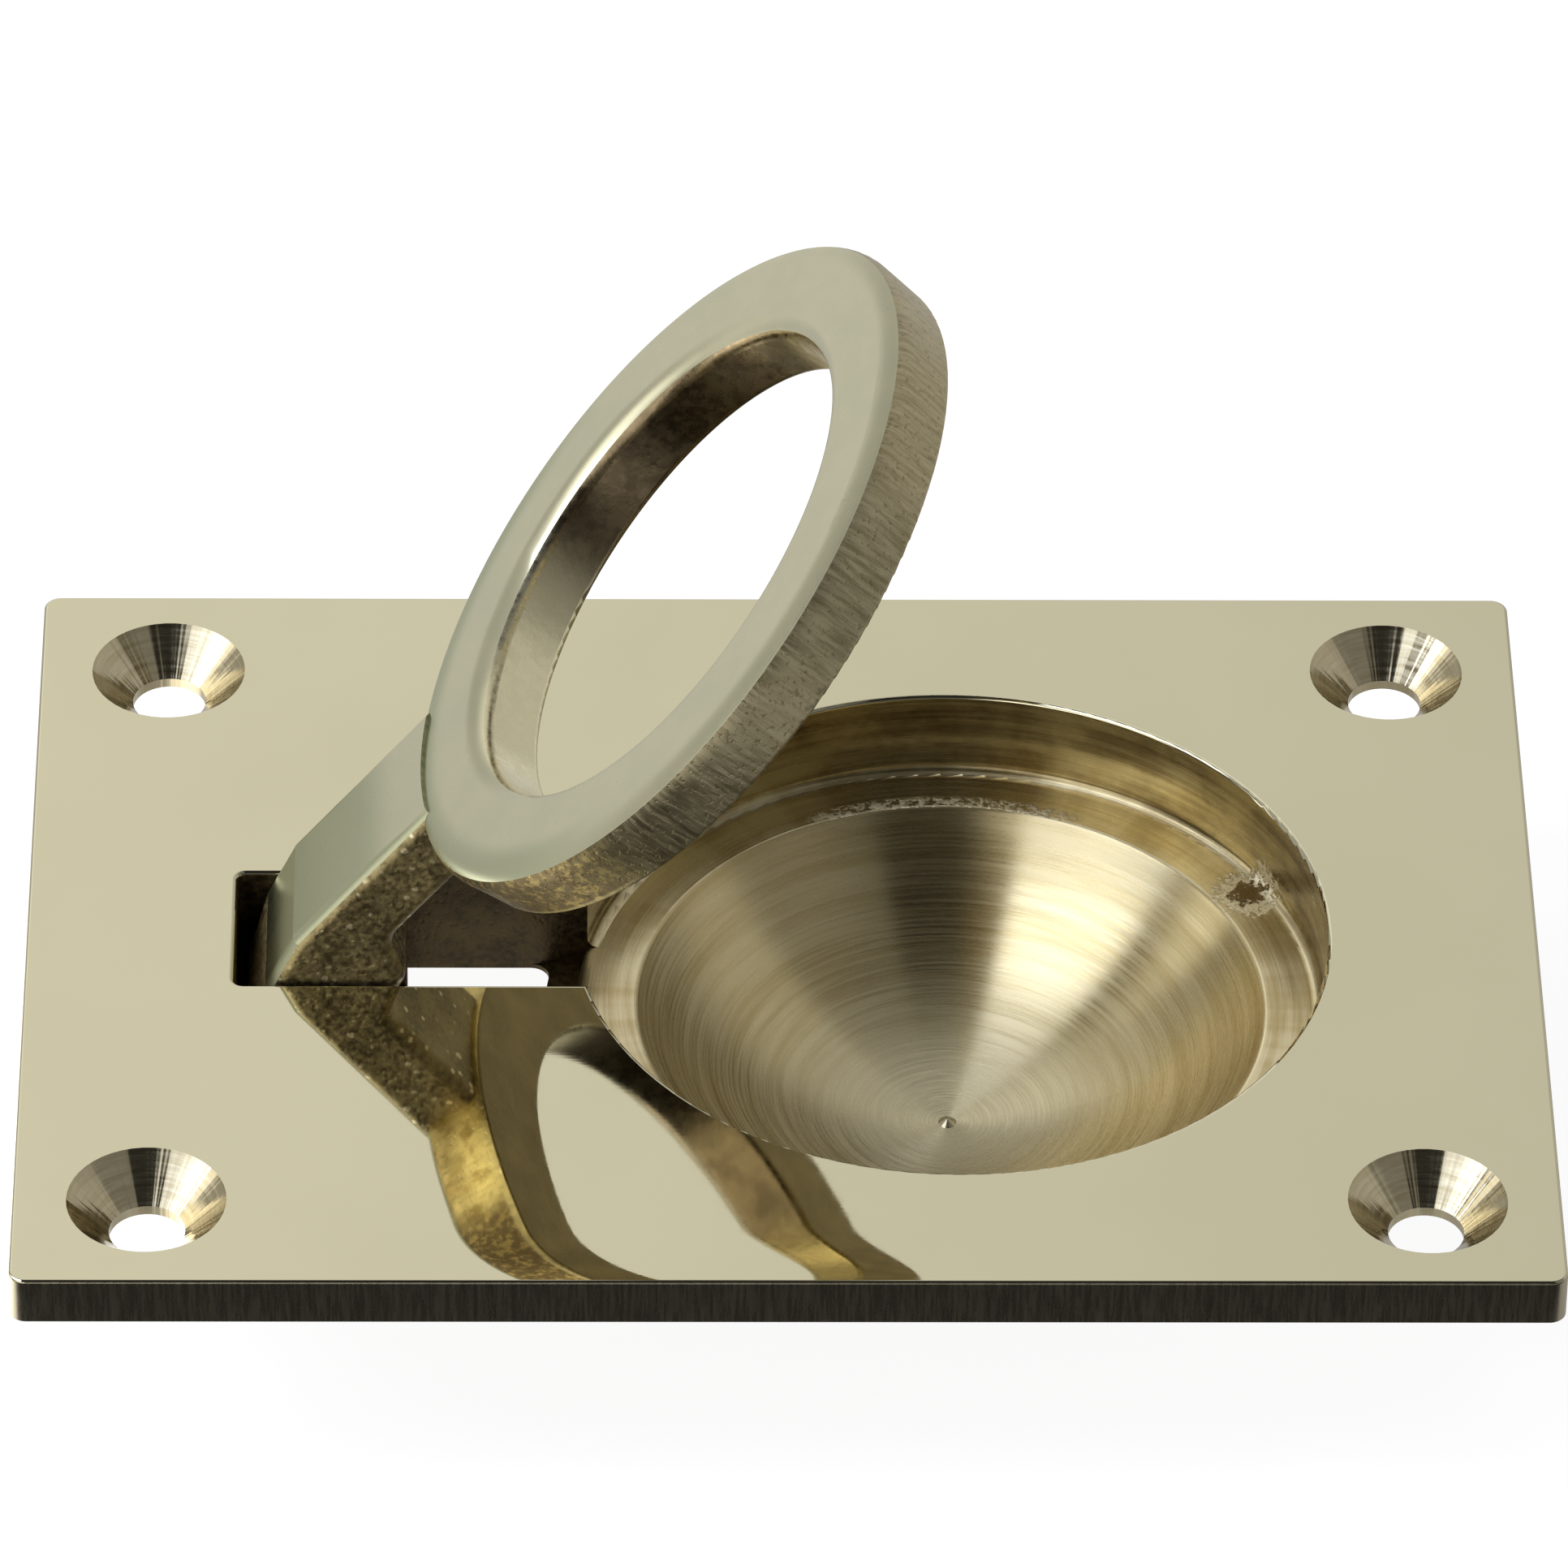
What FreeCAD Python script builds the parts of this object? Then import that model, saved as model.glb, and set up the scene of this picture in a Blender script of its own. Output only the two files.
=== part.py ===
import FreeCAD, Part
import math
import os

# Flush ring pull in cast brass: a face plate with a finger bowl and a hinged ring.
# Frame: origin at the middle of the plate's back face, +Z out of the cabinet, +X from hinge to ring.

# Face plate
plate_length = 88.9
plate_width = 63.5
plate_thickness = 3.0
plate_corner_radius = 1.0
plate_edge_radius = 0.2

# Countersunk holes for four wood screws
screw_hole_diameter = 4.4
countersink_diameter = 9.2
countersink_angle = 90.0
screw_end_distance = 7.7
screw_side_distance = 7.2

# Recess and finger bowl, depths measured from the plate's face
recess_centre_x = 10.0
recess_radius = 22.1
ledge_depth = 5.7
ledge_fillet = 0.7
bowl_rim_radius = 18.6
bowl_rim_rounding = 0.3
bowl_depth = 14.9
turning_pip_radius = 0.55
turning_pip_height = 0.3
cup_wall = 2.0
cup_corner_radius = 1.6
mouth_rounding = 0.25

# Hinge: pin, knuckle and the box behind the plate
arm_length = 38.65
pivot_depth = 5.55
pin_diameter = 3.0
pin_end_rounding = 0.25
pin_seat_clearance = 0.02
pin_running_clearance = 0.05
knuckle_radius = 2.9
knuckle_end_gap = 0.65
knuckle_floor_gap = 0.4
slot_width = 10.4
slot_corner_radius = 0.6
slot_step_depth = 7.0
box_wall = 2.0
box_floor = 1.5
box_corner_radius = 1.2
box_floor_radius = 0.6
window_offset = 6.45
window_rim_depth = 7.3
window_corner_radius = 1.1

# Ring and stem, heights measured from the pivot and lengths along the stem from it
ring_clearance = 0.5
ring_bar_width = 6.2
ring_face_height = 5.5
ring_thickness = 4.6
ring_outer_draft = 0.5
ring_hole_draft = 0.2
ring_face_rounding = 1.3
ring_back_rounding = 0.4
stem_side_clearance = 0.3
stem_step_at_ring = 0.25
stem_shoulder_length = 6.35
stem_shoulder_drop = 0.35
stem_top_at_knuckle = 4.4
stem_nose_length = 2.6
stem_nose_radius = 1.0
stem_thickness_at_ring = 4.45
stem_thickness_at_heel = 4.35
stem_waist_length = 10.0
heel_length = 8.5
heel_drop = 1.5
heel_waist_radius = 1.5
heel_corner_radius = 1.0
stem_edge_rounding = 0.8
open_angle = 50.0

# Working allowances
cut_overshoot = 1.0  # how far a cut starts and ends outside the metal
rounding_share = 0.45  # most of a wall's length that one of its two roundings takes
same_place = 1e-6  # two points or heights this close are one
near_place = 1e-3  # the same, for points worked out on rounded edges

# Sizes worked out from those above
face_z = plate_thickness
recess_left_x = recess_centre_x - recess_radius
inside_recess_x = recess_centre_x - recess_radius / 2
cup_outer_radius = recess_radius + cup_wall
pivot_x = recess_centre_x - arm_length
pivot_z = face_z - pivot_depth
slot_end_x = pivot_x - knuckle_radius - knuckle_end_gap
slot_floor_z = pivot_z - knuckle_radius - knuckle_floor_gap
window_start_x = pivot_x + window_offset
box_half_width = slot_width / 2 + box_wall
stem_half_width = slot_width / 2 - stem_side_clearance
ring_outer_radius = recess_radius - ring_clearance
ring_hole_radius = ring_outer_radius - ring_bar_width
stem_root = arm_length - ring_outer_radius + ring_bar_width / 2
down = FreeCAD.Vector(0, 0, -1)
up = FreeCAD.Vector(0, 0, 1)


def box(x0, x1, y0, y1, z0, z1):
    return Part.makeBox(x1 - x0, y1 - y0, z1 - z0, FreeCAD.Vector(x0, y0, z0))


def upright_edges(solid, keep=lambda x, y: True):
    """Edges of a solid that run along Z, at the places that keep accepts."""
    found = []
    for edge in solid.Edges:
        first, last = edge.Vertexes[0].Point, edge.Vertexes[-1].Point
        level = abs(first.x - last.x) < same_place and abs(first.y - last.y) < same_place
        if level and abs(first.z - last.z) > same_place and keep(first.x, first.y):
            found.append(edge)
    return found


def rounded_corner(before, corner, after, radius):
    """Tangent points and middle of the arc that rounds a corner, as large as its two walls leave room for."""
    room = rounding_share * min(corner.distanceToPoint(before), corner.distanceToPoint(after))
    to_before = (before - corner).normalize()
    to_after = (after - corner).normalize()
    half = to_before.getAngle(to_after) / 2
    middle_line = (to_before + to_after).normalize()
    reach = min(radius / math.tan(half), room)
    arc_radius = reach * math.tan(half)
    centre = corner + middle_line * (arc_radius / math.sin(half))
    return corner + to_before * reach, centre - middle_line * arc_radius, corner + to_after * reach


def outline(corners):
    """Closed wire through (point, radius) corners; a radius above zero becomes an arc."""
    edges = []
    last = None
    first = None
    count = len(corners)
    for index, (point, radius) in enumerate(corners):
        if radius > 0:
            start, middle, end = rounded_corner(
                corners[index - 1][0], point, corners[(index + 1) % count][0], radius)
        else:
            start, middle, end = point, None, point
        if last is not None and last.distanceToPoint(start) > same_place:
            edges.append(Part.makeLine(last, start))
        if middle is not None:
            edges.append(Part.Arc(start, middle, end).toShape())
        first = start if first is None else first
        last = end
    if last.distanceToPoint(first) > same_place:
        edges.append(Part.makeLine(last, first))
    return Part.Wire(edges)


def flat(x, z):
    return FreeCAD.Vector(x, 0, z)


def face_plate():
    half_length, half_width = plate_length / 2, plate_width / 2
    plate = box(-half_length, half_length, -half_width, half_width, 0, plate_thickness)
    plate = plate.makeFillet(plate_corner_radius, upright_edges(plate))
    rim = [e for e in plate.Edges if all(abs(v.Z - face_z) < same_place for v in e.Vertexes)]
    return plate.makeFillet(plate_edge_radius, rim)


def screw_hole(x, y):
    hole_radius = screw_hole_diameter / 2
    top_radius = countersink_diameter / 2
    depth = (top_radius - hole_radius) / math.tan(math.radians(countersink_angle / 2))
    drill = Part.makeCylinder(hole_radius, plate_thickness + 2 * cut_overshoot,
                              FreeCAD.Vector(x, y, -cut_overshoot), up)
    sink = Part.makeCone(top_radius, hole_radius, depth, FreeCAD.Vector(x, y, face_z), down)
    return drill.fuse(sink)


def screw_holes():
    reach_x = plate_length / 2 - screw_end_distance
    reach_y = plate_width / 2 - screw_side_distance
    return [screw_hole(x, y) for x in (-reach_x, reach_x) for y in (-reach_y, reach_y)]


def bowl_sphere():
    """Radius of the bowl's sphere and the height of its centre."""
    drop = bowl_depth - ledge_depth
    radius = (bowl_rim_radius ** 2 + drop ** 2) / (2 * drop)
    return radius, face_z - bowl_depth + radius


def revolve_about_recess(edges):
    turned = Part.Face(Part.Wire(edges)).revolve(
        FreeCAD.Vector(0, 0, 0), FreeCAD.Vector(0, 0, 1), 360)
    turned.translate(FreeCAD.Vector(recess_centre_x, 0, 0))
    return turned


def cup_outside():
    """Stepped cup behind the plate: a short drum, then a dome one wall outside the bowl."""
    radius, centre_z = bowl_sphere()
    radius += cup_wall
    drum_z = face_z - ledge_depth - cup_wall
    dome_rim = math.sqrt(radius ** 2 - (centre_z - drum_z) ** 2)
    top = flat(0, face_z / 2)
    side_top = flat(cup_outer_radius, face_z / 2)
    corner = flat(cup_outer_radius, drum_z)
    dome_start = flat(dome_rim, drum_z)
    side_end, round_middle, floor_start = rounded_corner(
        side_top, corner, dome_start, cup_corner_radius)
    half_turn = math.asin(dome_rim / radius) / 2
    dome_middle = flat(radius * math.sin(half_turn), centre_z - radius * math.cos(half_turn))
    bottom = flat(0, centre_z - radius)
    return revolve_about_recess([
        Part.makeLine(top, side_top),
        Part.makeLine(side_top, side_end),
        Part.Arc(side_end, round_middle, floor_start).toShape(),
        Part.makeLine(floor_start, dome_start),
        Part.Arc(dome_start, dome_middle, bottom).toShape(),
        Part.makeLine(bottom, top)])


def cup_inside():
    """Space of the recess: straight wall, ledge with a small fillet, then the turned bowl."""
    radius, centre_z = bowl_sphere()
    ledge_z = face_z - ledge_depth
    above = face_z + cut_overshoot
    top = flat(0, above)
    wall_top = flat(recess_radius, above)
    corner = flat(recess_radius, ledge_z)
    rim = flat(bowl_rim_radius, ledge_z)
    wall_end, fillet_middle, ledge_start = rounded_corner(wall_top, corner, rim, ledge_fillet)
    pip_z = centre_z - math.sqrt(radius ** 2 - turning_pip_radius ** 2)
    pip_edge = flat(turning_pip_radius, pip_z)
    pip_top = flat(0, pip_z + turning_pip_height)
    start_turn = math.asin(bowl_rim_radius / radius)
    end_turn = math.asin(turning_pip_radius / radius)
    turn = (start_turn + end_turn) / 2
    bowl_middle = flat(radius * math.sin(turn), centre_z - radius * math.cos(turn))
    space = revolve_about_recess([
        Part.makeLine(top, wall_top),
        Part.makeLine(wall_top, wall_end),
        Part.Arc(wall_end, fillet_middle, ledge_start).toShape(),
        Part.makeLine(ledge_start, rim),
        Part.Arc(rim, bowl_middle, pip_edge).toShape(),
        Part.makeLine(pip_edge, pip_top),
        Part.makeLine(pip_top, top)])
    rim_edges = [e for e in space.Edges if circle_at(e, bowl_rim_radius, ledge_z)]
    rim_rounding = min(bowl_rim_rounding, rounding_share * abs(recess_radius - bowl_rim_radius))
    return space.makeFillet(rim_rounding, rim_edges)


def circle_at(edge, radius, height):
    if not isinstance(edge.Curve, Part.Circle):
        return False
    off_radius = abs(edge.Curve.Radius - radius)
    off_height = abs(edge.Curve.Center.z - height)
    return off_radius < near_place and off_height < near_place


def hinge_box_outside():
    """Box behind the slot: deep under the knuckle, shallow beside the window."""
    end_x = slot_end_x - box_wall
    half = box_half_width
    floor_z = slot_floor_z - box_floor
    rim_z = face_z - window_rim_depth
    inside_plate = plate_thickness / 2
    deep = box(end_x, window_start_x, -half, half, floor_z, inside_plate)
    deep = deep.makeFillet(box_corner_radius, upright_edges(deep, lambda x, y: x < pivot_x))
    floor_rim = [e for e in deep.Edges if all(abs(v.Z - floor_z) < same_place for v in e.Vertexes)
                 and any(v.X < window_start_x - same_place for v in e.Vertexes)]
    deep = deep.makeFillet(box_floor_radius, floor_rim)
    reach_x = recess_centre_x - math.sqrt(cup_outer_radius ** 2 - half ** 2) + cup_wall / 2
    shallow = box(pivot_x, reach_x, -half, half, rim_z, inside_plate)
    return deep.fuse(shallow)


def slot_space():
    """Slot from the hinge to the recess, with the window behind it that goes right through."""
    half = slot_width / 2
    above = face_z + cut_overshoot
    slot_step_z = face_z - slot_step_depth
    pocket = box(slot_end_x, window_start_x + cup_wall, -half, half, slot_floor_z, above)
    pocket = pocket.makeFillet(slot_corner_radius, upright_edges(pocket, lambda x, y: x < pivot_x))
    run = box(window_start_x, inside_recess_x, -half, half, slot_step_z, above)
    run = run.cut(Part.makeCylinder(recess_radius, slot_step_depth - ledge_depth,
                                    FreeCAD.Vector(recess_centre_x, 0, slot_step_z), up))
    beyond = face_z - bowl_depth
    window = box(window_start_x, inside_recess_x, -half, half, beyond, above)
    drum = Part.makeCylinder(cup_outer_radius, bowl_depth + 3 * cut_overshoot,
                             FreeCAD.Vector(recess_centre_x, 0, beyond - cut_overshoot), up)
    window = window.cut(drum)
    short_side = recess_centre_x - math.sqrt(cup_outer_radius ** 2 - half ** 2) - window_start_x
    corner = min(window_corner_radius, rounding_share * short_side)
    window = window.makeFillet(corner, upright_edges(window))
    return [pocket, run, window]


def pin_space(radius):
    length = 2 * (box_half_width + cut_overshoot)
    return Part.makeCylinder(radius, length, FreeCAD.Vector(pivot_x, -length / 2, pivot_z),
                             FreeCAD.Vector(0, 1, 0))


def mouth_edges(casting):
    """Edges of the recess and slot in the plate's face."""
    found = []
    for edge in casting.Edges:
        on_face = all(abs(v.Z - face_z) < same_place for v in edge.Vertexes)
        if not on_face:
            continue
        place = edge.CenterOfMass
        off_axis = abs(place.y) > slot_width / 2 + near_place
        if circle_at(edge, recess_radius, face_z):
            found.append(edge)
        elif not off_axis and slot_end_x - near_place <= place.x <= inside_recess_x:
            found.append(edge)
    return found


def back_plate():
    casting = face_plate().fuse([cup_outside(), hinge_box_outside()])
    spaces = [cup_inside()] + slot_space() + screw_holes()
    spaces.append(pin_space(pin_diameter / 2 + pin_seat_clearance))
    casting = casting.cut(spaces).removeSplitter()
    return casting.makeFillet(mouth_rounding, mouth_edges(casting))


def ring_body():
    """Flat ring with slightly drafted sides, lying level above the pivot's height."""
    face_h = ring_face_height
    back_h = face_h - ring_thickness
    outer, hole = ring_outer_radius, ring_hole_radius
    wire = outline([
        (flat(hole, face_h), ring_face_rounding),
        (flat(outer, face_h), ring_face_rounding),
        (flat(outer - ring_outer_draft, back_h), ring_back_rounding),
        (flat(hole - ring_hole_draft, back_h), ring_back_rounding)])
    ring = Part.Face(wire).revolve(FreeCAD.Vector(0, 0, 0), FreeCAD.Vector(0, 0, 1), 360)
    ring.translate(FreeCAD.Vector(arm_length, 0, 0))
    return ring


def stem_body():
    """Stem with its knuckle, drawn from the side with the pivot at the origin."""
    under_at_ring = stem_top(stem_root) - stem_thickness_at_ring
    under_at_waist = stem_top(stem_waist_length) - stem_thickness_at_heel
    heel_foot = tangent_to_knuckle(heel_length, -heel_drop, 1)
    nose_foot = tangent_to_knuckle(stem_nose_length - stem_nose_radius / 2, stem_top_at_knuckle, -1)
    arm = outline([
        (flat(stem_root, stem_top(stem_root)), 0),
        (flat(stem_shoulder_length, stem_top(stem_shoulder_length)), 0),
        (flat(stem_nose_length, stem_top_at_knuckle), stem_nose_radius),
        (flat(*nose_foot), 0),
        (flat(0, 0), 0),
        (flat(*heel_foot), 0),
        (flat(heel_length, -heel_drop), heel_corner_radius),
        (flat(stem_waist_length, under_at_waist), heel_waist_radius),
        (flat(stem_root, under_at_ring), 0)])
    half = stem_half_width
    arm = Part.Face(arm).extrude(FreeCAD.Vector(0, 2 * half, 0))
    arm.translate(FreeCAD.Vector(0, -half, 0))
    knuckle = Part.makeCylinder(knuckle_radius, 2 * half, FreeCAD.Vector(0, -half, 0),
                                FreeCAD.Vector(0, 1, 0))
    return arm.fuse(knuckle).removeSplitter()


def stem_top(length):
    """Height of the stem's top: steep from the nose to the shoulder, then nearly level to the ring."""
    at_ring = ring_face_height + stem_step_at_ring
    at_shoulder = at_ring - stem_shoulder_drop
    if length < stem_shoulder_length:
        share = (length - stem_nose_length) / (stem_shoulder_length - stem_nose_length)
        return stem_top_at_knuckle + share * (at_shoulder - stem_top_at_knuckle)
    share = (length - stem_shoulder_length) / (stem_root - stem_shoulder_length)
    return at_shoulder + share * stem_shoulder_drop


def tangent_to_knuckle(x, z, side):
    """Point where a line from (x, z) touches the knuckle's circle."""
    distance = math.hypot(x, z)
    turn = math.acos(knuckle_radius / distance)
    angle = math.atan2(z, x) - side * turn
    return knuckle_radius * math.cos(angle), knuckle_radius * math.sin(angle)


def stem_long_edges(stem):
    """Edges of the stem's two side faces, apart from its root inside the ring."""
    found = []
    for edge in stem.Edges:
        beside = all(abs(abs(v.Y) - stem_half_width) < same_place for v in edge.Vertexes)
        across = abs(edge.CenterOfMass.y) < stem_half_width - near_place
        if beside and not across and edge.CenterOfMass.x < stem_root - near_place:
            found.append(edge)
    return found


def ring_handle():
    """Ring and stem as one casting; the ring's face is turned, so it steps down from the stem's top."""
    stem = stem_body()
    stem = stem.makeFillet(stem_edge_rounding, stem_long_edges(stem))
    handle = ring_body().fuse(stem).removeSplitter()
    turned_face = Part.makeCylinder(ring_outer_radius - ring_face_rounding, ring_thickness,
                                    FreeCAD.Vector(arm_length, 0, ring_face_height), up)
    bore = Part.makeCylinder(pin_diameter / 2 + pin_running_clearance, slot_width,
                             FreeCAD.Vector(0, -slot_width / 2, 0), FreeCAD.Vector(0, 1, 0))
    handle = handle.cut([turned_face, bore]).removeSplitter()
    handle.rotate(FreeCAD.Vector(0, 0, 0), FreeCAD.Vector(0, 1, 0), -open_angle)
    handle.translate(FreeCAD.Vector(pivot_x, 0, pivot_z))
    return handle


def hinge_pin():
    length = 2 * box_half_width
    pin = Part.makeCylinder(pin_diameter / 2, length,
                            FreeCAD.Vector(pivot_x, -length / 2, pivot_z), FreeCAD.Vector(0, 1, 0))
    ends = [e for e in pin.Edges if isinstance(e.Curve, Part.Circle)]
    return pin.makeFillet(pin_end_rounding, ends)


pieces = {
    "back_plate": back_plate,
    "ring_handle": ring_handle,
    "hinge_pin": hinge_pin,
}

os.makedirs("parts", exist_ok=True)
for name, make in pieces.items():
    solid = make()
    if solid.ShapeType == "Compound" and len(solid.Solids) == 1:
        solid = solid.Solids[0]
    solid.exportStep("parts/" + name + ".step")
    print(name, solid.ShapeType, "valid", solid.isValid(), "volume %.1f" % solid.Volume)
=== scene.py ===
import bpy
import math
from mathutils import Matrix, Vector


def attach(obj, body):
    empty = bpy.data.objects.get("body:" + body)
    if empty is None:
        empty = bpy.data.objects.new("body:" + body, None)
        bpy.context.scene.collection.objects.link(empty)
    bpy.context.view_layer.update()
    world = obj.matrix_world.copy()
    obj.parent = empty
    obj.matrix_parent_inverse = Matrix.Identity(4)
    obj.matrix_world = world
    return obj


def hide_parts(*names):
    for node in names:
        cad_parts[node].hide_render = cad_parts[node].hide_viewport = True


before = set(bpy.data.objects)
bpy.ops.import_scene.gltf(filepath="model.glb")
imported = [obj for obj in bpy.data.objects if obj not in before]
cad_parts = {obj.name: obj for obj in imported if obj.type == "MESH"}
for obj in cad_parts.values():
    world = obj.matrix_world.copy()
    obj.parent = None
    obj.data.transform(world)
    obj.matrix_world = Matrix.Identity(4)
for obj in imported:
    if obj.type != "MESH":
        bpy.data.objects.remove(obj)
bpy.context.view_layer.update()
scene = bpy.context.scene

MM = 0.001

# Places on the object, in millimetres, as the solids have them
FACE_Z = 3.0
PLATE_HALF = (44.45, 31.75)
SCREWS = [(sx * 36.75, sy * 24.55) for sx in (-1, 1) for sy in (-1, 1)]
COUNTERSINK_RADIUS = 4.6
RECESS_X = 10.0
RECESS_RADIUS = 22.1
BOWL_RADIUS = 18.6
LEDGE_Z = -2.7
SLOT_HALF = 5.2
PIVOT = Vector((-28.65, 0.0, -2.55))
OPEN = math.radians(50.0)
ARM = 38.65
ALONG = Vector((math.cos(OPEN), 0.0, math.sin(OPEN)))
ACROSS = Vector((-math.sin(OPEN), 0.0, math.cos(OPEN)))
RING_OUTER = 21.6
RING_HOLE = 15.4
RING_FACE = 5.5
CREASE_RADIUS = 20.3
FLOOR_Z = -14.6
MIRRORED_WAY = (0.021, 0.780)
FLOOR_GLOW = 0.92
FLAG_LIFT = 0.5
FLAG_SIZE = (0.30, 0.11)
RING_CENTRE = PIVOT + ALONG * ARM
FULL_TURN = 2 * math.pi


# Node helpers
class Graph:
    """A node tree with short ways to add and join nodes."""

    def __init__(self, tree):
        self.tree = tree
        tree.nodes.clear()

    def add(self, kind, **props):
        node = self.tree.nodes.new(kind)
        for key, value in props.items():
            setattr(node, key, value)
        return node

    def put(self, socket, value):
        if isinstance(value, bpy.types.NodeSocket):
            self.tree.links.new(value, socket)
        elif value is not None:
            socket.default_value = value

    def math(self, operation, a, b=None, c=None, clamp=False):
        node = self.add("ShaderNodeMath", operation=operation, use_clamp=clamp)
        for socket, value in zip(node.inputs, (a, b, c)):
            self.put(socket, value)
        return node.outputs[0]

    def vector(self, operation, a, b=None, scale=None):
        node = self.add("ShaderNodeVectorMath", operation=operation)
        self.put(node.inputs[0], a)
        if b is not None:
            self.put(node.inputs[1], b)
        if scale is not None:
            self.put(node.inputs["Scale"], scale)
        return node.outputs["Value" if operation in ("DOT_PRODUCT", "LENGTH") else "Vector"]

    def distance(self, x, y):
        return self.math("SQRT", self.math("ADD", self.math("MULTIPLY", x, x), self.math("MULTIPLY", y, y)))

    def split(self, vector):
        node = self.add("ShaderNodeSeparateXYZ")
        self.put(node.inputs[0], vector)
        return node.outputs

    def join(self, x, y, z):
        node = self.add("ShaderNodeCombineXYZ")
        for socket, value in zip(node.inputs, (x, y, z)):
            self.put(socket, value)
        return node.outputs[0]

    def step(self, value, low, high, to_low=0.0, to_high=1.0, smooth=True):
        node = self.add("ShaderNodeMapRange", interpolation_type="SMOOTHSTEP" if smooth else "LINEAR")
        for socket, given in zip(node.inputs, (value, low, high, to_low, to_high)):
            self.put(socket, given)
        return node.outputs[0]

    def noise(self, vector, scale, detail=2.0, roughness=0.5, distortion=0.0):
        node = self.add("ShaderNodeTexNoise")
        self.put(node.inputs["Vector"], vector)
        node.inputs["Scale"].default_value = scale
        node.inputs["Detail"].default_value = detail
        node.inputs["Roughness"].default_value = roughness
        node.inputs["Distortion"].default_value = distortion
        return node.outputs["Fac"]

    def cells(self, vector, scale):
        node = self.add("ShaderNodeTexVoronoi")
        self.put(node.inputs["Vector"], vector)
        node.inputs["Scale"].default_value = scale
        return node.outputs["Distance"]

    def mix(self, share, first, second):
        node = self.add("ShaderNodeMix", data_type="RGBA")
        self.put(node.inputs["Factor"], share)
        self.put(node.inputs["A"], first)
        self.put(node.inputs["B"], second)
        return node.outputs["Result"]

    def turned_to_world(self, direction):
        node = self.add("ShaderNodeVectorTransform", vector_type="VECTOR",
                        convert_from="OBJECT", convert_to="WORLD")
        self.put(node.inputs[0], direction)
        return node.outputs[0]

    def bump(self, height, distance, normal=None, strength=1.0):
        node = self.add("ShaderNodeBump")
        node.inputs["Strength"].default_value = strength
        node.inputs["Distance"].default_value = distance
        self.put(node.inputs["Height"], height)
        if normal is not None:
            self.put(node.inputs["Normal"], normal)
        return node.outputs[0]


def rgba(r, g, b):
    return (r, g, b, 1.0)


def metal(name, anisotropic=0.0):
    """A new metallic material: its graph, its shader and the object's own coordinates in millimetres."""
    material = bpy.data.materials.new(name)
    material.use_nodes = True
    graph = Graph(material.node_tree)
    shader = graph.add("ShaderNodeBsdfPrincipled")
    shader.inputs["Metallic"].default_value = 1.0
    shader.inputs["Anisotropic"].default_value = anisotropic
    output = graph.add("ShaderNodeOutputMaterial")
    graph.tree.links.new(shader.outputs[0], output.inputs[0])
    place = graph.add("ShaderNodeTexCoord").outputs["Object"]
    return material, graph, shader, graph.vector("SCALE", place, scale=1.0 / MM)


def about_axis(graph, place, centre, axis=(0, 0, 1), side=(1, 0, 0)):
    """Distance from an axis, turn about it (0 to 1), height along it, and the offset across it."""
    offset = graph.vector("SUBTRACT", place, centre)
    height = graph.vector("DOT_PRODUCT", offset, axis)
    flat = graph.vector("SUBTRACT", offset, graph.vector("SCALE", axis, scale=height))
    radius = graph.vector("LENGTH", flat)
    cross = Vector(axis).cross(Vector(side))
    turn = graph.math("ARCTAN2", graph.vector("DOT_PRODUCT", flat, tuple(cross)),
                      graph.vector("DOT_PRODUCT", flat, side))
    return radius, graph.math("DIVIDE", turn, FULL_TURN), height, flat


def turned_grooves(graph, radius, turn, spacing, seed=0.0):
    """Fine lathe lines: they follow the radius and fade in and out round the turn."""
    angle = graph.math("MULTIPLY", turn, FULL_TURN)
    wander_x = graph.math("MULTIPLY", graph.math("COSINE", angle), 0.9)
    wander_y = graph.math("MULTIPLY", graph.math("SINE", angle), 0.9)
    line = graph.math("DIVIDE", radius, spacing)
    return graph.noise(graph.join(graph.math("ADD", line, seed), wander_x, wander_y), 1.0, 4.0, 0.62)


# Brass finishes
PALE = (0.610, 0.565, 0.390)
PALE_CLOUDED = (0.595, 0.552, 0.378)
CAST = (0.300, 0.235, 0.105)
# Middle of the blowhole that the turning opened in the ledge
CASTING_PIT = (RECESS_X + 18.0, 10.3, LEDGE_Z)
# Front edge of the face that the mop has rolled over: how far in it starts and how much it drops
ROLLED_WIDTH = 5.0
ROLLED_DROP = 0.175


def polished_face():
    """Mirror-polished face: faint waves and hairlines, and edges that the mop has rolled over a little."""
    material, g, shader, place = metal("plate_face_polished")
    cloud = g.noise(place, 0.05, 3.0, 0.55)
    haze = g.noise(place, 1.1, 4.0, 0.6)
    shader.inputs["IOR"].default_value = 1.5
    colour = g.mix(g.step(cloud, 0.35, 0.65), rgba(*PALE), rgba(*PALE_CLOUDED))
    g.put(shader.inputs["Base Color"], colour)
    g.put(shader.inputs["Roughness"], g.step(haze, 0.3, 0.75, 0.02, 0.045))
    x, y, z = g.split(place)
    from_front = g.math("ADD", y, PLATE_HALF[1])
    inside = g.math("MAXIMUM", g.math("SUBTRACT", ROLLED_WIDTH, from_front), 0.0)
    rolled = g.math("MULTIPLY", g.math("POWER", inside, 3.0), -ROLLED_DROP / ROLLED_WIDTH ** 3)
    normal = g.bump(rolled, MM)
    normal = g.bump(g.noise(place, 0.16, 1.0, 0.4), 0.02 * MM, normal, strength=0.25)
    along = g.vector("MULTIPLY", place, (0.25, 7.0, 1.0))
    normal = g.bump(g.noise(along, 1.0, 3.0, 0.7), 0.0006 * MM, normal, strength=0.5)
    g.put(shader.inputs["Normal"], normal)
    return material


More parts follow.
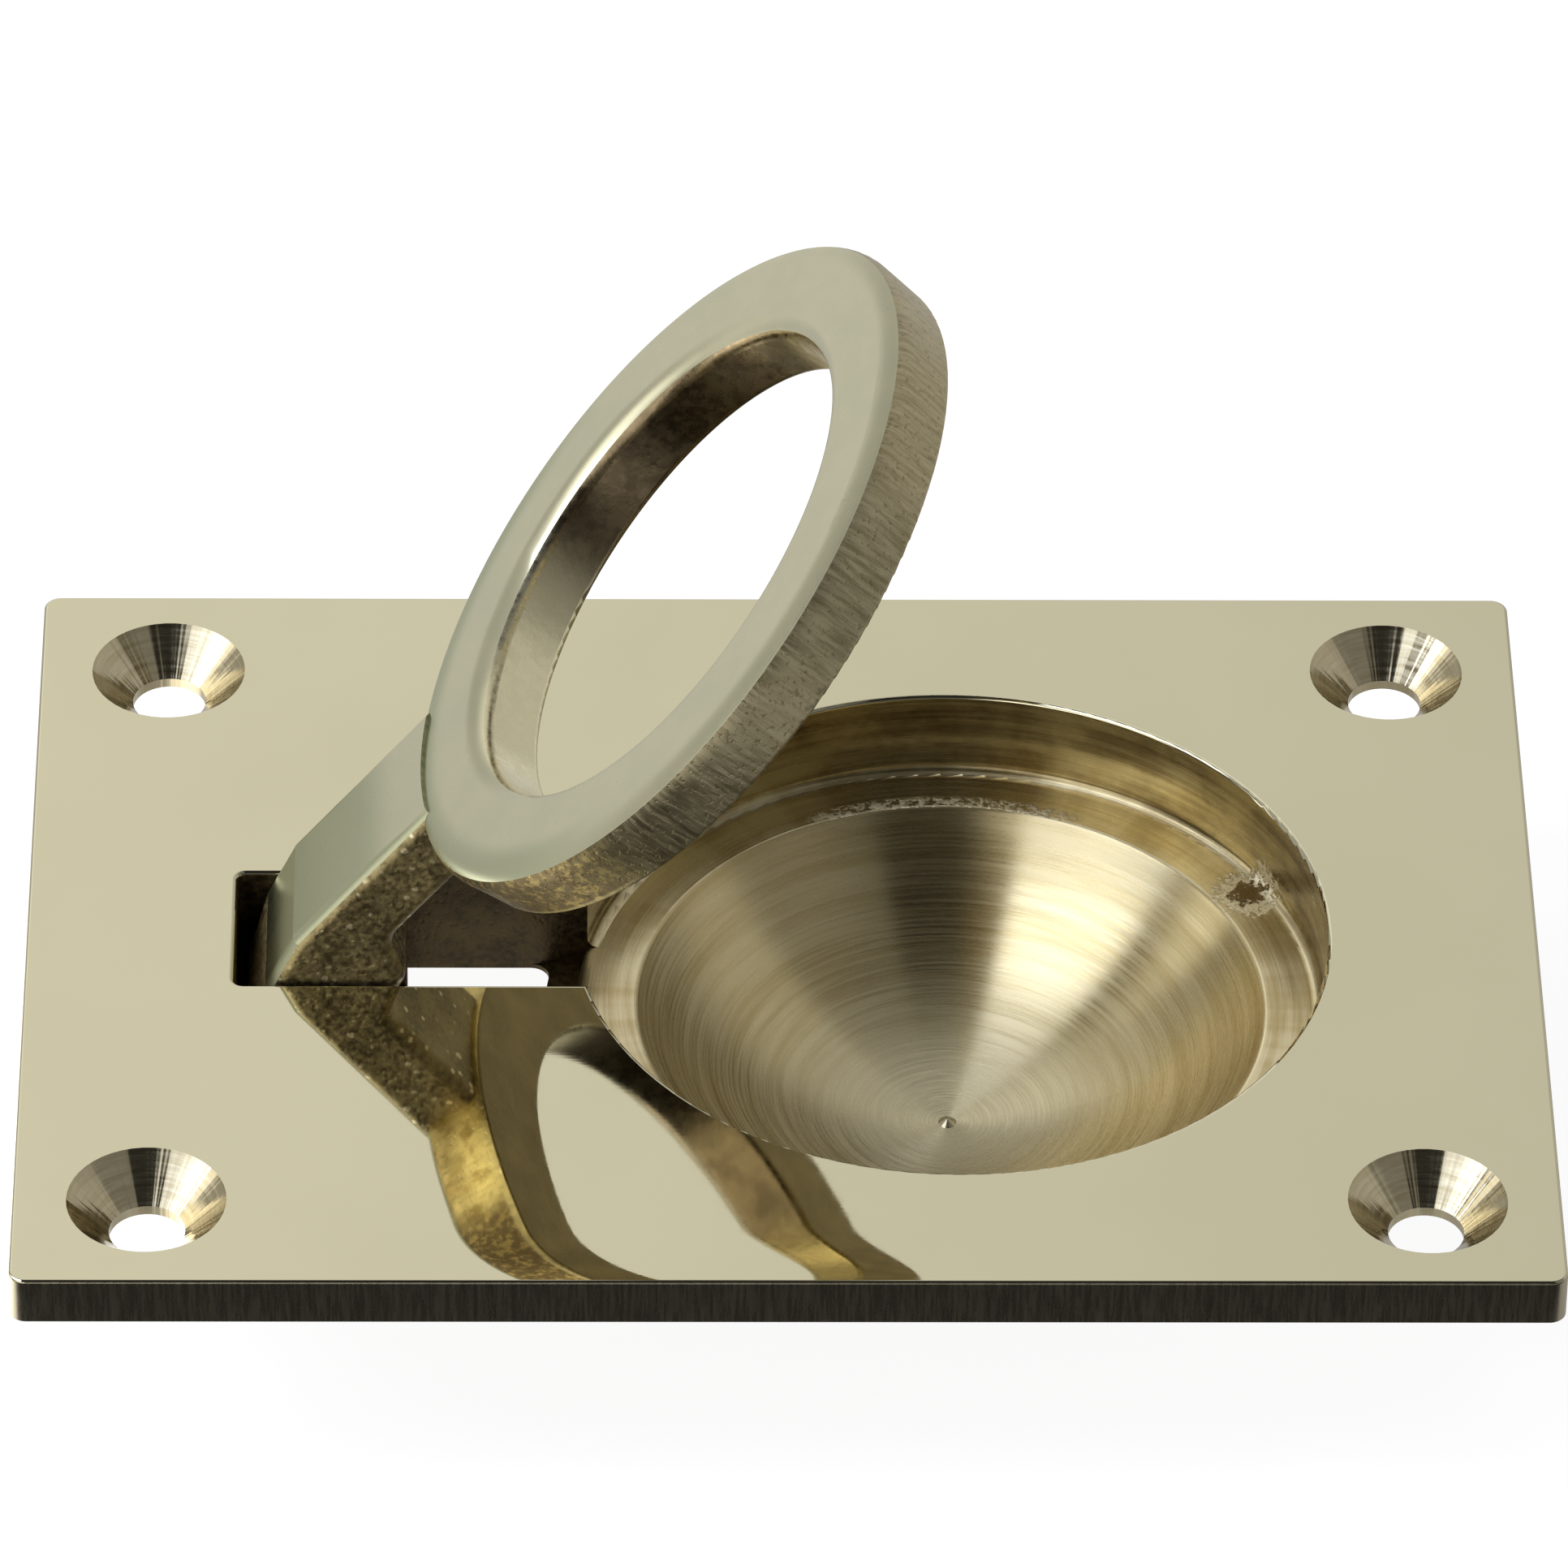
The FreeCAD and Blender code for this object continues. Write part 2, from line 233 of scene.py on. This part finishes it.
def milled_edge():
    """Linished edge of the plate: faint upright lines, coloured darker and hazier than the face."""
    material, g, shader, place = metal("plate_edge_linished")
    along = g.vector("MULTIPLY", place, (5.0, 5.0, 0.4))
    lines = g.noise(along, 1.0, 3.0, 0.6)
    colour = g.mix(g.step(lines, 0.3, 0.7), rgba(0.35, 0.31, 0.215), rgba(0.40, 0.355, 0.245))
    g.put(shader.inputs["Base Color"], colour)
    g.put(shader.inputs["Roughness"], g.step(lines, 0.3, 0.7, 0.24, 0.32))
    g.put(shader.inputs["Normal"], g.bump(lines, 0.0015 * MM))
    return material


def radial_tangent(g, flat):
    """Direction across the lathe's rings at each point, along which the highlight is stretched."""
    return g.vector("NORMALIZE", flat)


def turned_bowl():
    """Bowl turned on a lathe: fine rings that fan the light out from the centre."""
    material, g, shader, place = metal("bowl_turned", anisotropic=0.95)
    radius, turn, height, flat = about_axis(g, place, (RECESS_X, 0, 0))
    fine = turned_grooves(g, radius, turn, 0.13)
    coarse = turned_grooves(g, radius, turn, 0.75, 40.0)
    tint = g.step(g.math("ADD", g.math("MULTIPLY", coarse, 0.6), g.math("MULTIPLY", fine, 0.4)), 0.36, 0.62)
    deep = g.step(radius, 3.0, 13.0)
    colour = g.mix(tint, rgba(0.47, 0.375, 0.180), rgba(0.62, 0.525, 0.300))
    g.put(shader.inputs["Base Color"], g.mix(deep, rgba(0.53, 0.475, 0.31), colour))
    g.put(shader.inputs["Roughness"], g.step(fine, 0.25, 0.75, 0.22, 0.34))
    normal = g.bump(coarse, 0.012 * MM, strength=0.7)
    normal = g.bump(fine, 0.006 * MM, normal, strength=0.9)
    g.put(shader.inputs["Normal"], normal)
    g.put(shader.inputs["Tangent"], radial_tangent(g, flat))
    return material


def turned_wall():
    """Recess wall and ledge: turned, coarser than the bowl, with the casting's flaws left in the ledge; the
    upright wall is coloured darker as painted shade.
    """
    material, g, shader, place = metal("recess_turned")
    radius, turn, height, flat = about_axis(g, place, (RECESS_X, 0, 0))
    depth = g.math("ADD", radius, height)
    lines = turned_grooves(g, depth, turn, 0.28, 11.0)
    streak = turned_grooves(g, depth, turn, 0.9, 70.0)
    upright = g.join(g.math("MULTIPLY", turn, 34.0), g.math("MULTIPLY", height, 0.25), 3.0)
    patches = g.noise(upright, 1.0, 3.0, 0.6)
    tone = g.math("ADD", g.math("MULTIPLY", streak, 0.55), g.math("MULTIPLY", patches, 0.45))
    clean = g.mix(g.step(tone, 0.38, 0.60), rgba(0.46, 0.365, 0.18), rgba(0.66, 0.575, 0.36))
    # The upright wall's darker colours: painted shade in the recess.
    wall = g.mix(g.step(tone, 0.38, 0.60), rgba(0.20, 0.150, 0.070), rgba(0.45, 0.37, 0.195))
    clean = g.mix(g.step(radius, RECESS_RADIUS - 0.5, RECESS_RADIUS - 0.15), clean, wall)
    grain = g.noise(place, 1.9, 4.0, 0.7)
    inner_ledge = g.step(radius, RECESS_RADIUS - 2.4, RECESS_RADIUS - 2.8)
    from_back = g.math("ABSOLUTE", g.math("SUBTRACT", turn, 0.25))
    crumbs = g.math("MULTIPLY", inner_ledge, g.step(grain, 0.47, 0.56))
    crumbs = g.math("MULTIPLY", crumbs, g.step(from_back, 0.075, 0.05))
    flaw = g.vector("LENGTH", g.vector("SUBTRACT", place, CASTING_PIT))
    flaw = g.math("ADD", flaw, g.step(grain, 0.35, 0.65, -0.6, 0.6, smooth=False))
    pit = g.step(flaw, 1.0, 0.7)
    lip = g.math("MULTIPLY", g.step(flaw, 0.9, 1.15), g.step(flaw, 2.0, 1.4))
    bright = g.math("MAXIMUM", g.math("MULTIPLY", crumbs, 0.8), g.math("MULTIPLY", lip, 0.7))
    colour = g.mix(bright, clean, rgba(0.86, 0.78, 0.55))
    g.put(shader.inputs["Base Color"], g.mix(pit, colour, rgba(0.20, 0.14, 0.06)))
    smooth = g.step(lines, 0.25, 0.75, 0.2, 0.34)
    g.put(shader.inputs["Roughness"], g.math("ADD", smooth, g.math("MULTIPLY", bright, 0.28)))
    normal = g.bump(lines, 0.010 * MM, strength=0.8)
    rough = g.math("SUBTRACT", g.math("MULTIPLY", bright, grain), pit)
    normal = g.bump(rough, 0.25 * MM, normal, strength=0.9)
    g.put(shader.inputs["Normal"], normal)
    return material


def countersink_metal():
    """Countersinks cut with a glossy tool: faint rings round each hole."""
    material, g, shader, place = metal("countersink_cut")
    x, y, z = g.split(place)
    off_x = g.math("SUBTRACT", g.math("ABSOLUTE", x), SCREWS[-1][0])
    off_y = g.math("SUBTRACT", g.math("ABSOLUTE", y), SCREWS[-1][1])
    radius = g.distance(off_x, off_y)
    turn = g.math("DIVIDE", g.math("ARCTAN2", off_y, off_x), FULL_TURN)
    rings = turned_grooves(g, radius, turn, 0.2, 5.0)
    chatter = g.noise(g.join(g.math("MULTIPLY", turn, 26.0), 0.0, 0.0), 1.0, 2.0, 0.5)
    colour = g.mix(g.step(rings, 0.3, 0.7), rgba(0.46, 0.385, 0.230), rgba(0.58, 0.515, 0.345))
    g.put(shader.inputs["Base Color"], colour)
    g.put(shader.inputs["Roughness"], g.step(rings, 0.3, 0.7, 0.12, 0.20))
    normal = g.bump(chatter, 0.11 * MM, strength=0.8)
    normal = g.bump(rings, 0.006 * MM, normal, strength=0.7)
    g.put(shader.inputs["Normal"], normal)
    return material


def cast_skin(name, pale, dark, speckle=0.0):
    """Raw casting: sand grain, shallow pits and a browned skin with brighter high spots."""
    material, g, shader, place = metal(name)
    grain = g.noise(place, 2.4, 5.0, 0.65)
    swell = g.noise(place, 0.35, 3.0, 0.5)
    pits = g.step(g.cells(place, 1.7), 0.1, 0.34)
    tone = g.math("ADD", g.math("MULTIPLY", grain, 0.6), g.math("MULTIPLY", swell, 0.4))
    colour = g.mix(g.step(tone, 0.36, 0.64), rgba(*dark), rgba(*pale))
    if speckle:
        high = g.step(g.math("ADD", g.cells(place, 1.1), g.math("MULTIPLY", grain, 0.6)), 0.56, 0.42)
        high = g.math("MULTIPLY", high, g.step(g.noise(place, 0.9, 1.0), 0.36, 0.50))
        colour = g.mix(g.math("MULTIPLY", high, speckle), colour, rgba(0.88, 0.76, 0.50))
    g.put(shader.inputs["Base Color"], colour)
    g.put(shader.inputs["Roughness"], g.step(grain, 0.3, 0.7, 0.34, 0.52))
    normal = g.bump(swell, 0.14 * MM, strength=0.5)
    normal = g.bump(grain, 0.05 * MM, normal, strength=0.7)
    normal = g.bump(pits, 0.03 * MM, normal, strength=0.5)
    g.put(shader.inputs["Normal"], normal)
    return material


def about_ring(g, place):
    """The ring's own radius, turn, height and share of the way back towards its stem (1 at the stem)."""
    radius, turn, height, flat = about_axis(g, place, tuple(RING_CENTRE), tuple(ACROSS), tuple(ALONG))
    along = g.vector("DOT_PRODUCT", flat, tuple(ALONG))
    return radius, turn, height, g.math("DIVIDE", along, -RING_OUTER)


def ring_face():
    """Ring and stem faces: satin; the mop has only just broken their edges, more so beside the stem."""
    material, g, shader, place = metal("ring_face_satin")
    radius, turn, height, stemward = about_ring(g, place)
    cloud = g.noise(place, 0.22, 3.0, 0.55)
    haze = g.noise(place, 0.9, 4.0, 0.65)
    below_stem_top = g.step(height, RING_FACE + 0.15, RING_FACE + 0.05)
    # Greenish colour on the outer edge rounding on the stem's half: painted reflection.
    band = g.math("MULTIPLY", g.step(radius, 18.8, 20.2), below_stem_top)
    painted_edge_reflection = g.math("MULTIPLY", band, g.step(stemward, 0.1, 0.6, 0.0, 0.95))
    satin = g.mix(g.step(cloud, 0.3, 0.7), rgba(0.580, 0.555, 0.375), rgba(0.615, 0.580, 0.390))
    satin = g.mix(g.step(height, RING_FACE + 0.05, RING_FACE + 0.15), satin, rgba(0.605, 0.575, 0.390))
    g.put(shader.inputs["Base Color"], g.mix(painted_edge_reflection, satin, rgba(0.42, 0.430, 0.265)))
    g.put(shader.inputs["Roughness"], g.step(haze, 0.25, 0.75, 0.27, 0.30))
    facing = g.turned_to_world(tuple(ACROSS))
    natural = g.add("ShaderNodeNewGeometry").outputs["Normal"]
    hole_edge = g.step(radius, RING_HOLE + 0.8, RING_HOLE + 1.4, 0.25, 1.0)
    flattened = g.math("MAXIMUM", hole_edge, g.step(stemward, 0.45, 0.62))
    level = g.math("MULTIPLY", g.step(stemward, 0.35, 0.8, 2.2, 0.8), flattened)
    normal = g.vector("NORMALIZE", g.vector("ADD", natural, g.vector("SCALE", facing, scale=level)))
    g.put(shader.inputs["Normal"], g.bump(cloud, 0.03 * MM, normal, strength=0.5))
    return material


def crease_metal():
    """Step between the ring's turned face and the stem: dull, with a dark greenish colour that is painted
    shade in the groove.
    """
    material, g, shader, place = metal("crease_painted_shade")
    grain = g.noise(place, 2.0, 3.0, 0.6)
    # Dark greenish colour: painted shade in the step's groove.
    colour = g.mix(g.step(grain, 0.35, 0.65), rgba(0.20, 0.215, 0.135), rgba(0.36, 0.37, 0.24))
    g.put(shader.inputs["Base Color"], colour)
    g.put(shader.inputs["Roughness"], g.step(grain, 0.3, 0.7, 0.35, 0.5))
    return material


def ring_rim():
    """Ring's outer rim: linished across, cast speckle left in it, raw gold beside the stem."""
    material, g, shader, place = metal("ring_rim_linished")
    radius, turn, height, stemward = about_ring(g, place)
    wrap = g.math("MULTIPLY", turn, FULL_TURN * RING_OUTER)
    across = g.join(g.math("MULTIPLY", wrap, 3.4), g.math("MULTIPLY", height, 0.35), 0.0)
    lines = g.noise(across, 1.0, 4.0, 0.65)
    mottle = g.noise(place, 1.7, 4.0, 0.65)
    speck = g.step(g.noise(place, 3.2, 3.0, 0.6), 0.55, 0.68)
    base = g.mix(g.step(lines, 0.3, 0.7), rgba(0.33, 0.275, 0.150), rgba(0.55, 0.480, 0.295))
    base = g.mix(g.math("MULTIPLY", speck, 0.6), base, rgba(0.24, 0.185, 0.09))
    patchy = g.step(g.noise(place, 0.8, 4.0, 0.65), 0.36, 0.56)
    raw = g.mix(patchy, rgba(0.58, 0.43, 0.16), rgba(0.95, 0.78, 0.36))
    raw = g.mix(g.step(height, 2.4, 4.0, 0.0, 0.6), raw, rgba(0.24, 0.18, 0.08))
    brown = g.mix(g.step(mottle, 0.46, 0.62), rgba(0.185, 0.135, 0.070), rgba(0.42, 0.315, 0.130))
    base = g.mix(g.step(stemward, 0.05, 0.45), base, brown)
    base = g.mix(g.step(stemward, 0.80, 0.87), base, raw)
    # Bright gold along the rim's back edge on the stem's half: painted highlight.
    painted_edge_highlight = g.math("MULTIPLY", g.step(height, 1.5, 1.15), g.step(stemward, 0.1, 0.4, 0.0, 0.5))
    g.put(shader.inputs["Base Color"], g.mix(painted_edge_highlight, base, rgba(0.90, 0.77, 0.44)))
    g.put(shader.inputs["Roughness"], g.step(lines, 0.3, 0.7, 0.32, 0.5))
    facing = g.turned_to_world(tuple(ACROSS))
    natural = g.add("ShaderNodeNewGeometry").outputs["Normal"]
    lean = g.math("MULTIPLY", g.vector("DOT_PRODUCT", natural, facing), -0.7)
    normal = g.vector("NORMALIZE", g.vector("ADD", natural, g.vector("SCALE", facing, scale=lean)))
    normal = g.bump(lines, 0.016 * MM, normal, strength=0.8)
    normal = g.bump(speck, -0.02 * MM, normal, strength=0.6)
    g.put(shader.inputs["Normal"], normal)
    return material


def ring_bore():
    """Inside of the ring: as cast and mopped, smooth; its dark brown is partly the casting's skin and
    partly painted shade, with a painted highlight in gold on the side away from the stem and paler colour
    on the side by the stem.
    """
    material, g, shader, place = metal("ring_bore_painted_shade")
    grain = g.noise(place, 1.3, 4.0, 0.6)
    radius, turn, height, stemward = about_ring(g, place)
    blotch = g.step(g.noise(place, 0.42, 3.0, 0.6), 0.42, 0.62)
    # Dark browns, blotched at random: partly the casting's skin, partly painted shade inside the ring.
    brown = g.mix(blotch, rgba(0.210, 0.160, 0.090), rgba(0.145, 0.108, 0.062))
    # Gold on the side away from the stem: painted highlight.
    brown = g.mix(g.step(stemward, -0.40, -0.60), brown, rgba(0.50, 0.385, 0.165))
    # Paler colour on the side by the stem.
    g.put(shader.inputs["Base Color"], g.mix(g.step(stemward, 0.36, 0.62), brown, rgba(0.80, 0.73, 0.475)))
    g.put(shader.inputs["Roughness"], g.step(grain, 0.3, 0.7, 0.2, 0.34))
    g.put(shader.inputs["Normal"], g.bump(grain, 0.03 * MM, strength=0.6))
    return material


def drawn_pin():
    """Drawn rod: fine lines along its length."""
    material, g, shader, place = metal("pin_drawn")
    lines = g.noise(g.vector("MULTIPLY", place, (5.0, 0.3, 5.0)), 1.0, 3.0)
    g.put(shader.inputs["Base Color"], g.mix(lines, rgba(0.62, 0.52, 0.29), rgba(0.52, 0.42, 0.22)))
    g.put(shader.inputs["Roughness"], g.step(lines, 0.3, 0.7, 0.24, 0.36))
    g.put(shader.inputs["Normal"], g.bump(lines, 0.006 * MM))
    return material


# Pieces with their finishes
def dressed(node, body, materials, zone):
    """Copy of a CAD node's surface whose faces take the finish that zone() names for them."""
    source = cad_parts[node]
    mesh = source.data.copy()
    mesh.name = node + "_dressed"
    piece = bpy.data.objects.new(node + "_dressed", mesh)
    scene.collection.objects.link(piece)
    mesh.materials.clear()
    names = list(materials)
    for name in names:
        mesh.materials.append(materials[name])
    for polygon in mesh.polygons:
        centre = polygon.center / MM
        polygon.material_index = names.index(zone(centre, polygon.normal))
    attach(piece, body)
    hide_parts(node)
    return piece


def plate_zone(p, n):
    """The plate's finish at a face's middle p, in millimetres, with the normal n."""
    reach = math.hypot(p.x - RECESS_X, p.y)
    in_countersink = any(math.hypot(p.x - sx, p.y - sy) < COUNTERSINK_RADIUS + 0.02 for sx, sy in SCREWS)
    if in_countersink and abs(n.z) < 0.98 and p.z > 0:
        return "countersink"
    at_side = abs(p.x) > PLATE_HALF[0] - 0.3 or abs(p.y) > PLATE_HALF[1] - 0.3
    if at_side and p.z > 0 and n.z < 0.7:
        return "edge"
    if p.z > FACE_Z - 0.4 and n.z > 0.35:
        return "face"
    beside_slot = p.x < RECESS_X - RECESS_RADIUS + 1.0 and abs(p.y) < SLOT_HALF + 0.1
    if beside_slot and abs(n.y) > 0.5 and p.z > -9.0:
        return "slot"
    if reach < BOWL_RADIUS + 0.05 and p.z < LEDGE_Z + 0.1 and n.z > 0.05:
        return "bowl"
    if reach < RECESS_RADIUS + 0.05 and p.z > LEDGE_Z - 0.5 and n.z > -0.3 and p.x > -15:
        return "recess"
    return "cast"


def ring_zone(p, n):
    """The ring's finish at a face's middle p, in millimetres, with the normal n."""
    local = p - PIVOT
    s, h = local.dot(ALONG), local.dot(ACROSS)
    up = n.dot(ACROSS)
    reach = math.hypot(s - ARM, p.y)
    if s < 3.0 and n.dot(ALONG) < -0.35:
        return "nose"
    if up > 0.55:
        return "face"
    crease = abs(reach - CREASE_RADIUS) < 0.2 and h > RING_FACE - 0.1
    if crease and s < ARM - 15.0:
        return "crease"
    if reach > RING_OUTER - 0.3 and s < ARM - RING_OUTER + 0.6:
        return "stem"
    if up < -0.8:
        return "back"
    if reach < RING_HOLE + 0.5:
        return "bore"
    return "rim"


def build_pieces():
    cast = cast_skin("casting_raw", CAST, (0.16, 0.115, 0.055))
    plate_finishes = {
        "face": polished_face(), "edge": milled_edge(), "countersink": countersink_metal(),
        "recess": turned_wall(), "bowl": turned_bowl(), "cast": cast,
        # Slot walls: casting colours made near black, which is painted shade in the slot.
        "slot": cast_skin("slot_painted_shade", (0.17, 0.125, 0.065), (0.07, 0.055, 0.035))}
    dressed("back_plate", "plate", plate_finishes, plate_zone)
    ring_finishes = {
        "face": ring_face(), "rim": ring_rim(), "bore": ring_bore(), "crease": crease_metal(),
        "back": cast_skin("ring_back_tumbled", (0.38, 0.300, 0.145), (0.25, 0.190, 0.090)),
        # Nose: casting colours lightened to bright gold, which is painted light.
        "nose": cast_skin("stem_nose_painted_light", (0.85, 0.68, 0.32), (0.50, 0.37, 0.15)),
        "stem": cast_skin("stem_side_raw", (0.40, 0.325, 0.165), (0.16, 0.125, 0.065), speckle=0.9)}
    dressed("ring_handle", "ring", ring_finishes, ring_zone)
    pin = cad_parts["hinge_pin"]
    pin.data.materials.clear()
    pin.data.materials.append(drawn_pin())


# Studio
def sheet_object(name, size_x, size_y, place, material):
    """A flat sheet that belongs to the stage."""
    mesh = bpy.data.meshes.new(name)
    x, y = size_x / 2, size_y / 2
    mesh.from_pydata([(-x, -y, 0), (x, -y, 0), (x, y, 0), (-x, y, 0)], [], [(0, 1, 2, 3)])
    mesh.materials.append(material)
    sheet = bpy.data.objects.new(name, mesh)
    sheet.matrix_world = place
    scene.collection.objects.link(sheet)
    return sheet


def seen_share(graph):
    """1 for rays that show the background: from the camera, or by way of a glossy or clear surface."""
    path = graph.add("ShaderNodeLightPath")
    both = graph.math("MAXIMUM", path.outputs["Is Camera Ray"], path.outputs["Is Glossy Ray"])
    return graph.math("MAXIMUM", both, path.outputs["Is Transmission Ray"])


def floor():
    """White floor: a plain glow for the camera, and a shaded one where only the metal mirrors it."""
    material = bpy.data.materials.new("floor_white")
    material.use_nodes = True
    g = Graph(material.node_tree)
    glow = g.add("ShaderNodeEmission")
    x, y, z = g.split(g.add("ShaderNodeTexCoord").outputs["Object"])
    reach = g.distance(x, y)
    off = g.distance(g.math("ADD", x, 0.20), g.math("ADD", y, 0.26))
    beside = g.vector("LENGTH", g.vector("SUBTRACT", g.join(x, y, 0.0), (-0.085, 0.0, 0.0)))
    # Glow that only the metal sees: lower near the object as painted shadow, with two brighter patches, off
    # to the front left and to the left of the plate, as painted light.
    mirrored = g.math("ADD", g.step(reach, 0.12, 0.6, 0.45, 0.80), g.step(off, 0.22, 0.10, 0.0, 1.8))
    mirrored = g.math("ADD", mirrored, g.step(beside, 0.06, 0.02, 0.0, 3.5))
    path = g.add("ShaderNodeLightPath")
    glow_strength = g.step(path.outputs["Is Camera Ray"], 0.0, 1.0, mirrored, FLOOR_GLOW, smooth=False)
    seen = g.math("MULTIPLY", seen_share(g), glow_strength)
    g.put(glow.inputs["Strength"], seen)
    matte = g.add("ShaderNodeBsdfDiffuse")
    matte.inputs["Color"].default_value = rgba(0.14, 0.14, 0.14)
    both = g.add("ShaderNodeAddShader")
    g.put(both.inputs[0], glow.outputs[0])
    g.put(both.inputs[1], matte.outputs[0])
    g.put(g.add("ShaderNodeOutputMaterial").inputs[0], both.outputs[0])
    sheet_object("floor", 6.0, 6.0, Matrix.Translation((0, 0, FLOOR_Z * MM)), material)


def flag():
    """Black card on the floor in front of the plate, which only the metal's reflections show."""
    material = bpy.data.materials.new("flag_black")
    material.use_nodes = True
    g = Graph(material.node_tree)
    matte = g.add("ShaderNodeBsdfDiffuse")
    matte.inputs["Color"].default_value = rgba(0.03, 0.03, 0.03)
    g.put(g.add("ShaderNodeOutputMaterial").inputs[0], matte.outputs[0])
    place = Matrix.Translation((0.0, -0.095, (FLOOR_Z + FLAG_LIFT) * MM))
    card = sheet_object("flag", *FLAG_SIZE, place, material)
    card.visible_camera = False
    card.visible_diffuse = False
    card.visible_shadow = False


def studio_world():
    """Studio round the object: a pale sweep behind it, a soft box high on the left, a dim room in front."""
    world = bpy.data.worlds.new("studio")
    world.use_nodes = True
    scene.world = world
    g = Graph(world.node_tree)
    way = g.vector("NORMALIZE", g.add("ShaderNodeTexCoord").outputs["Generated"])
    x, y, z = g.split(way)

    def towards(direction, low, high, strength):
        nearness = g.vector("DOT_PRODUCT", way, tuple(Vector(direction).normalized()))
        return g.step(nearness, low, high, 0.0, strength)

    # The fan turns about the way that the flat plate mirrors the camera: 0 left and back, 90 in front
    from_x = g.math("SUBTRACT", MIRRORED_WAY[0], x)
    from_y = g.math("SUBTRACT", MIRRORED_WAY[1], y)
    fan = g.math("DEGREES", g.math("ARCTAN2", from_y, from_x))
    spread = g.distance(from_x, from_y)
    right_wall = g.math("MULTIPLY", g.step(fan, 101.0, 105.0, 0.0, 0.33), g.step(y, -0.75, -0.55))
    right_wall = g.math("ADD", right_wall, g.step(fan, 130.0, 140.0, 0.0, 0.35))
    back_right = g.math("MULTIPLY", g.step(fan, 0.0, -8.0), g.step(x, 0.0, 0.1, 0.0, 0.62))
    left_wall = g.math("MULTIPLY", g.step(fan, 40.0, 30.0, 0.16, 0.60), g.step(y, -0.15, 0.1))
    room = g.math("ADD", g.math("MAXIMUM", g.math("MAXIMUM", right_wall, back_right), left_wall), 0.045)
    room = g.math("MULTIPLY", room, g.step(z, 0.76, 0.95, 1.0, 0.5))
    low_front = g.math("MULTIPLY", g.step(z, 0.60, 0.35, 0.0, 0.17), g.step(y, -0.30, -0.55))
    room = g.math("MAXIMUM", room, low_front)
    sweep = towards((0.0, 0.78, 0.62), 0.74, 0.92, 1.25)
    sweep = g.math("MULTIPLY", sweep, g.step(x, -0.25, 0.3, 1.18, 0.66))
    panel = towards((-0.62, -0.78, 0.10), 0.80, 0.93, 2.6)
    total = g.math("MAXIMUM", g.math("MAXIMUM", room, sweep), panel)
    box = g.math("MULTIPLY", g.math("MULTIPLY", g.step(fan, 34.0, 47.0), g.step(fan, 74.0, 77.0, 5.2, 0.0)),
                 g.math("MULTIPLY", g.step(z, 0.38, 0.44), g.step(spread, 0.68, 0.95)))
    box = g.math("MULTIPLY", box, g.step(spread, 1.42, 1.12, 0.32, 1.0))
    low_left = towards((-0.91, 0.10, 0.35), 0.95, 0.982, 1.8)
    total = g.math("ADD", g.math("ADD", total, box), low_left)
    path = g.add("ShaderNodeLightPath")
    strength = g.step(path.outputs["Is Camera Ray"], 0.0, 1.0, total, 1.0, smooth=False)
    background = g.add("ShaderNodeBackground")
    cool = g.math("MULTIPLY", g.step(box, 0.0, 2.5), g.math("SUBTRACT", 1.0, path.outputs["Is Camera Ray"]))
    g.put(background.inputs["Color"], g.mix(cool, rgba(0.80, 0.80, 0.80), rgba(0.74, 0.80, 0.98)))
    g.put(background.inputs["Strength"], strength)
    g.put(g.add("ShaderNodeOutputWorld").inputs[0], background.outputs[0])


def lamp(name, place, size, power, target=(0.0, 0.0, 0.0)):
    """Soft lamp that shades the floor and shows in no metal."""
    data = bpy.data.lights.new(name, "AREA")
    data.shape = "RECTANGLE"
    data.size, data.size_y = size
    data.energy = power
    light = bpy.data.objects.new(name, data)
    light.location = place
    light.rotation_mode = "QUATERNION"
    light.rotation_quaternion = (Vector(target) - Vector(place)).to_track_quat("-Z", "Y")
    light.visible_glossy = False
    scene.collection.objects.link(light)


def camera():
    """The photograph's view: direction, distance and lens worked out from the plate's corners."""
    elevation, yaw, roll = 0.67466743, 0.02735216, 0.01871211
    distance, focal = 750.615, 15493.06
    image, centre_x, centre_y = 1932.0, 1039.57, 969.57
    forward = Vector((math.sin(yaw) * math.cos(elevation), math.cos(yaw) * math.cos(elevation),
                      -math.sin(elevation)))
    right = Vector((math.cos(yaw), -math.sin(yaw), 0.0))
    up = right.cross(forward)
    right, up = right * math.cos(roll) + up * math.sin(roll), up * math.cos(roll) - right * math.sin(roll)
    place = Vector((3.8103, 13.3740, FACE_Z)) - forward * distance
    ahead = (forward * focal + right * (image / 2 - centre_x) - up * (image / 2 - centre_y)).normalized()
    right = (right - ahead * right.dot(ahead)).normalized()
    up = right.cross(ahead)
    data = bpy.data.cameras.new("photo_view")
    data.sensor_width = 36.0
    data.lens = focal / image * 36.0
    data.clip_start, data.clip_end = 0.05, 20.0
    view = bpy.data.objects.new("photo_view", data)
    view.matrix_world = Matrix((
        (right.x, up.x, -ahead.x, place.x * MM),
        (right.y, up.y, -ahead.y, place.y * MM),
        (right.z, up.z, -ahead.z, place.z * MM),
        (0, 0, 0, 1)))
    scene.collection.objects.link(view)
    scene.camera = view


camera()
build_pieces()
floor()
flag()
studio_world()
lamp("key", (-0.5, -0.15, 0.65), (0.5, 0.5), 4.0)
scene.view_settings.view_transform = "Standard"
